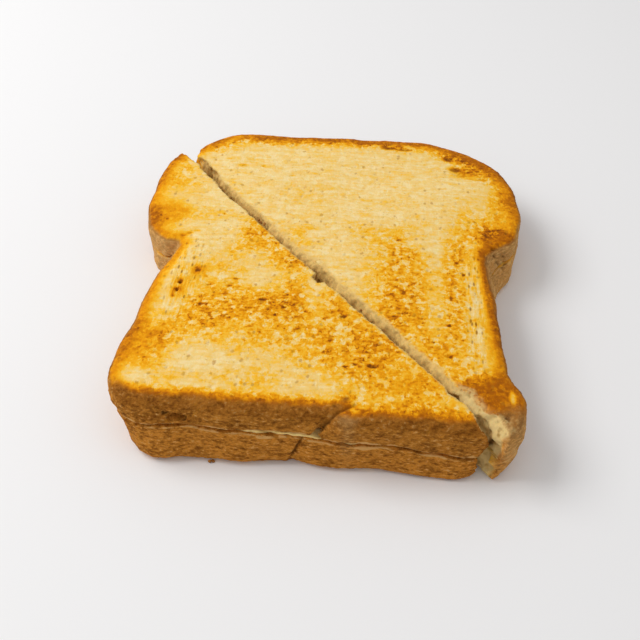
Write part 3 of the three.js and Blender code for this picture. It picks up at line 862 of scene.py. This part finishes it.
def with_marks(looks, settings, colour, warped, grain):
    """A colour with painted shade in its pores, small pits, grooves and cracks, and scorched spots on it."""
    mapped, mixed, times = looks.mapped, looks.mixed, looks.times
    # Painted shade in the flank grooves, in the pores and in small pits that have no relief of their own.
    groove = looks.spots(looks.stretched(0.9, 0.34, 1), 1.3, 0.12, 0.34, 0.3, 0.5)
    groove = times(groove, looks.attribute("flank"))
    pore = looks.maths("MAXIMUM", groove, looks.attribute("pore"))
    for size, rare, strength in ((1.1, 0.7, 0.55), (2.4, 0.6, 0.85)):
        pit = looks.spots(warped, size, 0.12, 0.3, rare, rare + 0.2)
        pore = looks.maths("MAXIMUM", pore, times(pit, looks.attribute("face"), strength))
    colour = mixed(times(pore, 0.62), colour, rgba(settings.pore_shade_colour))
    colour = mixed(times(groove, 0.5), colour, rgba(settings.char_and_shade_colour, 1.2))
    scorched = looks.attribute("scorched")
    dark = times(
        mapped(looks.plus(scorched, grain, 0.8), 0.35, 1.1, 0.0, 0.8), mapped(scorched, 0.02, 0.2),
    )
    colour = mixed(dark, colour, rgba(settings.char_and_shade_colour))
    # Painted shade inside the cracks.
    return mixed(mapped(looks.attribute("slit"), 0.1, 0.9, 0.0, 0.9), colour, rgba(settings.char_and_shade_colour, 0.4))


def toasted_bread(settings, name, crust_shade):
    """White tin bread, pressed and toasted: matt, mottled from cream to orange with scorched spots, a
    brown crust wrinkled in layers, and soft cream crumb where it is cut or worn. Painted shade darkens
    its pores, cracks, crust creases and the gap of the cut, and painted highlights lighten its crust
    flakes and the edges at the seam."""
    material, tree, shader = new_material(name)
    looks = Looks(tree)
    loaf = looks.stretched(1, 0.78, 1)
    warp = add_node(tree, "ShaderNodeTexNoise", {"Vector": loaf, "Scale": 1 / 1.6, "Detail": 2.0})
    warped = add_node(
        tree, "ShaderNodeVectorMath", {0: warp.outputs["Color"], 1: (1.3, 1.3, 1.3), 2: loaf},
        operation="MULTIPLY_ADD",
    ).outputs[0]
    grain = looks.noise(loaf, 0.7, 3.0, 0.65)
    crumb_grain = looks.noise(looks.stretched(1, 1, 1), 1.3, 3.0)

    face, mottle = toast_colour(looks, settings, loaf, warped, grain)
    crust, crust_height = crust_colour(looks, settings, crust_shade)
    cut = cut_colour(looks, settings, crumb_grain)
    worn = looks.times(looks.attribute("worn"), looks.mapped(crumb_grain, -0.25, 0.1))
    colour = looks.mixed(looks.attribute("crust"), face, crust)
    colour = looks.mixed(worn, colour, cut)
    colour = looks.mixed(looks.attribute("cut"), colour, cut)
    colour = with_marks(looks, settings, colour, warped, grain)

    height = looks.plus(grain, mottle, 0.4)
    height = looks.plus(height, looks.times(crust_height, looks.attribute("crust")), 3.5)
    bump = add_node(tree, "ShaderNodeBump", {"Strength": 0.55, "Distance": 0.3 * MM, "Height": height})
    set_inputs(tree, shader, {
        "Base Color": colour, "Roughness": 0.8, "IOR": 1.45, "Specular IOR Level": 0.1,
        "Normal": bump.outputs[0], "Subsurface Weight": 0.12,
        "Subsurface Radius": (0.0015, 0.0008, 0.0004), "Subsurface Scale": 1.0,
    })
    return material


def blotched(tree, size, detail, low, high, colours):
    """Blotches of two colours, size mm apart, and their colour."""
    place = add_node(tree, "ShaderNodeTexCoord").outputs["Object"]
    blotch = add_node(
        tree, "ShaderNodeTexNoise", {"Vector": place, "Scale": 1 / (size * MM), "Detail": detail},
    ).outputs[0]
    share = add_node(tree, "ShaderNodeMapRange", {"Value": blotch, "From Min": low, "From Max": high})
    first, second = (rgba(colour) for colour in colours)
    mix = add_node(tree, "ShaderNodeMix", {0: share.outputs[0], 6: first, 7: second}, data_type="RGBA")
    return blotch, mix.outputs[2]


def cream_filling(settings):
    """Soft white cream filling, melted by the press: pale, slightly glossy, with blotches of olive painted
    shade.
    """
    material, tree, shader = new_material("melted cream filling")
    blotch, colour = blotched(tree, 3, 3.0, 0.4, 0.65, (settings.cream_colour, settings.cream_shade_colour))
    bump = add_node(tree, "ShaderNodeBump", {"Strength": 0.5, "Distance": 0.4 * MM, "Height": blotch})
    set_inputs(tree, shader, {
        "Base Color": colour, "Roughness": 0.42, "IOR": 1.45, "Normal": bump.outputs[0],
        "Subsurface Weight": 0.25, "Subsurface Radius": (0.002, 0.0015, 0.0008), "Subsurface Scale": 1.0,
    })
    return material


def toasted_crumbs(settings):
    """Dry toasted crumbs: matt, golden to brown."""
    material, tree, shader = new_material("toasted crumbs")
    colours = (settings.dark_crust_and_shade_colour, settings.crust_colour)
    colour = blotched(tree, 0.8, 2.0, 0.0, 1.0, colours)[1]
    set_inputs(tree, shader, {"Base Color": colour, "Roughness": 0.85})
    return material


def lumpy_rim(mesh, step, lump_height):
    """Splits the long edges of a thin layer's side wall, and makes the wall uneven."""
    working = bmesh.new()
    working.from_mesh(mesh)
    for _ in range(4):
        walls = [face for face in working.faces if abs(face.normal.z) < 0.7]
        long_edges = {edge for face in walls for edge in face.edges if edge.calc_length() > step}
        if not long_edges:
            break
        bmesh.ops.subdivide_edges(working, edges=list(long_edges), cuts=1)
        bmesh.ops.triangulate(working, faces=[face for face in working.faces if len(face.verts) > 3])
        bmesh.ops.dissolve_degenerate(working, edges=working.edges, dist=THIN_FACE * MM)
    on_wall = {vertex.index for face in working.faces if abs(face.normal.z) < 0.7 for vertex in face.verts}
    working.to_mesh(mesh)
    working.free()
    points = read_vectors(mesh, "positions") / MM
    normals = read_vectors(mesh, "normals")
    at_rim = np.zeros(len(points))
    at_rim[list(on_wall)] = 1
    lumps = value_noise(points, 1.6, 41) + value_noise(points, 4.5, 42) - 1
    flat = normals * (1, 1, 0.2)
    write_positions(mesh, (points + flat * (at_rim * lumps * 2 * lump_height)[:, None]) * MM)


def make_slices(layer):
    """Makes both halves of the upper or the lower slice. The lower one's crust is lighter."""
    settings = bpy.context.scene.sandwich_bread
    is_upper = layer == "upper"
    crust_shade = 1.0 if is_upper else 1.2
    material = toasted_bread(settings, f"toasted tin bread, {layer} slice", crust_shade)
    tree = relief_tree()
    for number, half in enumerate(HALVES):
        node_name = f"{layer}_slice_{half}"
        piece = fine_piece(f"{layer}_bread_{half}", node_name, settings.mesh_step)
        mesh = piece.data
        points = read_vectors(mesh, "positions") / MM
        masks = mask_bread(points, read_vectors(mesh, "normals"), node_name, half, is_upper)
        for name, values in masks.items():
            store(mesh, name, values)
        store(mesh, "seam", close_seam(points, node_name, half, is_upper, settings.seam_closing / MM))
        roughen_tip(points, half)
        if is_upper:
            wear_cut(points, half)
        write_positions(mesh, points * MM)
        mesh = run_tree(piece, tree, {
            "Wrinkle height": settings.wrinkle_height, "Crumb relief": settings.crumb_relief,
            "Cut relief": settings.cut_relief, "Crack depth": settings.crack_depth,
            "Pore radius": settings.pore_radius, "Pore spacing": settings.pore_spacing,
            "Pore depth": settings.pore_depth,
            "Seed": settings.seed + number, "Material": material,
        })
        keep_in_box(mesh)
        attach(piece, BODY)
        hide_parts(node_name)


class SANDWICH_OT_upper_slices(bpy.types.Operator):
    """Make both halves of the toasted upper slice"""

    bl_idname = "sandwich.upper_slices"
    bl_label = "Upper slice"

    def execute(self, context):
        make_slices("upper")
        return {"FINISHED"}


class SANDWICH_OT_lower_slices(bpy.types.Operator):
    """Make both halves of the lower slice"""

    bl_idname = "sandwich.lower_slices"
    bl_label = "Lower slice"

    def execute(self, context):
        make_slices("lower")
        return {"FINISHED"}


class SANDWICH_OT_filling(bpy.types.Operator):
    """Make both halves of the cream filling"""

    bl_idname = "sandwich.filling"
    bl_label = "Filling"

    def execute(self, context):
        settings = context.scene.sandwich_filling
        material = cream_filling(settings)
        for half in HALVES:
            node_name = f"filling_{half}"
            mesh = merged_copy(node_name)
            lumpy_rim(mesh, settings.mesh_step, settings.lump_height / MM)
            mesh.materials.append(material)
            mesh.shade_smooth()
            piece = new_object(f"cream_filling_{half}", mesh)
            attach(piece, BODY)
            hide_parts(node_name)
        return {"FINISHED"}


def crumb_tree():
    """Geometry Nodes that put an irregular crumb on every point."""
    tree, given = geometry_tree(
        "loose crumbs", (("Radius", "Float"), ("Seed", "Int"), ("Material", "Material")),
    )
    sums = Sums(tree)
    ball = add_node(tree, "GeometryNodeMeshIcoSphere", {"Radius": 1.0, "Subdivisions": 4}).outputs[0]
    full_turn = (math.tau, math.tau, math.tau)
    turn = add_node(
        tree, "FunctionNodeRandomValue", {0: (0, 0, 0), 1: full_turn, "Seed": given["Seed"]},
        data_type="FLOAT_VECTOR",
    ).outputs[0]
    share = add_node(
        tree, "FunctionNodeRandomValue", {2: 0.55, 3: 1.0, "Seed": given["Seed"]}, data_type="FLOAT",
    ).outputs[1]
    placed = add_node(
        tree, "GeometryNodeInstanceOnPoints",
        {
            "Points": given["Geometry"], "Instance": ball, "Rotation": turn,
            "Scale": sums.times(share, given["Radius"]),
        },
    ).outputs[0]
    real = add_node(tree, "GeometryNodeRealizeInstances", {"Geometry": placed}).outputs[0]
    texture = add_node(tree, "ShaderNodeTexNoise", {"Scale": 1 / (0.9 * MM), "Detail": 2.0}).outputs[0]
    height = sums.times(sums.maths("SUBTRACT", texture, 0.5), given["Radius"], 2.4)
    normal = add_node(tree, "GeometryNodeInputNormal").outputs[0]
    offset = add_node(tree, "ShaderNodeVectorMath", {0: normal, "Scale": height}, operation="SCALE")
    craggy = add_node(tree, "GeometryNodeSetPosition", {"Geometry": real, "Offset": offset.outputs[0]})
    finish_tree(tree, craggy.outputs[0], given)
    return tree


class SANDWICH_OT_crumbs(bpy.types.Operator):
    """Make the loose crumbs in the gap and at the foot of the loaf"""

    bl_idname = "sandwich.crumbs"
    bl_label = "Crumbs"

    def execute(self, context):
        settings = context.scene.sandwich_crumbs
        mesh = bpy.data.meshes.new("loose crumbs")
        places = [Vector((BASE + place) * MM) for place in np.array(CRUMBS)]
        mesh.from_pydata(places, [], [])
        piece = new_object("loose_crumbs", mesh)
        mesh = run_tree(piece, crumb_tree(), {
            "Radius": settings.radius, "Seed": settings.seed,
            "Material": toasted_crumbs(context.scene.sandwich_bread),
        })
        keep_in_box(mesh)
        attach(piece, BODY)
        return {"FINISHED"}


class SANDWICH_OT_stage(bpy.types.Operator):
    """Make the floor, the soft light and the camera"""

    bl_idname = "sandwich.stage"
    bl_label = "Stage"

    def execute(self, context):
        settings = context.scene.sandwich_stage
        scene = context.scene
        scene.view_settings.view_transform = "Standard"
        make_floor(settings)
        make_light(settings)
        make_camera(settings)
        return {"FINISHED"}


def make_floor(settings):
    """A matt floor, a hair below the sandwich."""
    half = 3.0
    corners = [(-half, -half, 0), (half, -half, 0), (half, half, 0), (-half, half, 0)]
    mesh = bpy.data.meshes.new("floor")
    mesh.from_pydata(corners, [], [(0, 1, 2, 3)])
    floor = new_object("floor", mesh)
    floor.location.z = -0.02 * MM
    material, tree, shader = new_material("matt white board")
    looks = {"Base Color": rgba(settings.floor_colour), "Roughness": 0.6, "Specular IOR Level": 0.25}
    set_inputs(tree, shader, looks)
    mesh.materials.append(material)
    floor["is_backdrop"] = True


def make_light(settings):
    """A white room and one large soft light, from the upper left."""
    world = bpy.data.worlds.new("white room")
    world.use_nodes = True
    bpy.context.scene.world = world
    background = world.node_tree.nodes["Background"]
    background.inputs["Color"].default_value = (1.0, 1.0, 1.0, 1.0)
    background.inputs["Strength"].default_value = settings.sky_strength
    lamp = bpy.data.lights.new("window", "AREA")
    lamp.shape = "RECTANGLE"
    lamp.size = 0.7
    lamp.size_y = 0.5
    lamp.energy = settings.key_power
    window = new_object("window", lamp)
    window.location = (-0.66, 0.12, 0.68)
    window.rotation_euler = (-window.location).to_track_quat("-Z", "Y").to_euler()


def make_camera(settings):
    """Looks down on the sandwich from the front, a little from its right."""
    from_base = (14.9, -166.0)
    pitch_down = math.radians(42.3)
    turn = math.radians(5)
    data = bpy.data.cameras.new("camera")
    data.lens = settings.lens
    data.sensor_width = 36
    data.clip_start = 0.01
    camera = new_object("camera", data)
    camera.location = (
        (BASE[0] + from_base[0]) * MM, (BASE[1] + from_base[1]) * MM, settings.camera_height,
    )
    camera.rotation_euler = (math.pi / 2 - pitch_down, 0, turn)
    bpy.context.scene.camera = camera


class SANDWICH_PT_panel(bpy.types.Panel):
    """Sizes, colours and steps of the sandwich"""

    bl_label = "Toasted sandwich"
    bl_idname = "SANDWICH_PT_panel"
    bl_space_type = "VIEW_3D"
    bl_region_type = "UI"
    bl_category = "Sandwich"

    def draw(self, context):
        scene = context.scene
        for title, group in (
            ("Bread", scene.sandwich_bread), ("Filling", scene.sandwich_filling),
            ("Crumbs", scene.sandwich_crumbs), ("Stage", scene.sandwich_stage),
        ):
            box = self.layout.box()
            box.label(text=title)
            for key in group.__annotations__:
                box.prop(group, key)
        for operator in OPERATORS:
            self.layout.operator(operator.bl_idname)


SETTINGS = {
    "sandwich_bread": BreadSettings,
    "sandwich_filling": FillingSettings,
    "sandwich_crumbs": CrumbSettings,
    "sandwich_stage": StageSettings,
}
OPERATORS = (
    SANDWICH_OT_stage,
    SANDWICH_OT_lower_slices,
    SANDWICH_OT_filling,
    SANDWICH_OT_upper_slices,
    SANDWICH_OT_crumbs,
)


def register():
    for cls in (*SETTINGS.values(), *OPERATORS, SANDWICH_PT_panel):
        bpy.utils.register_class(cls)
    for name, cls in SETTINGS.items():
        setattr(bpy.types.Scene, name, PointerProperty(type=cls))


def unregister():
    for name in SETTINGS:
        delattr(bpy.types.Scene, name)
    for cls in (SANDWICH_PT_panel, *reversed(OPERATORS), *reversed(SETTINGS.values())):
        bpy.utils.unregister_class(cls)


def main():
    register()
    bpy.ops.sandwich.stage()
    bpy.ops.sandwich.lower_slices()
    bpy.ops.sandwich.filling()
    bpy.ops.sandwich.upper_slices()
    bpy.ops.sandwich.crumbs()


if __name__ == "__main__":
    main()
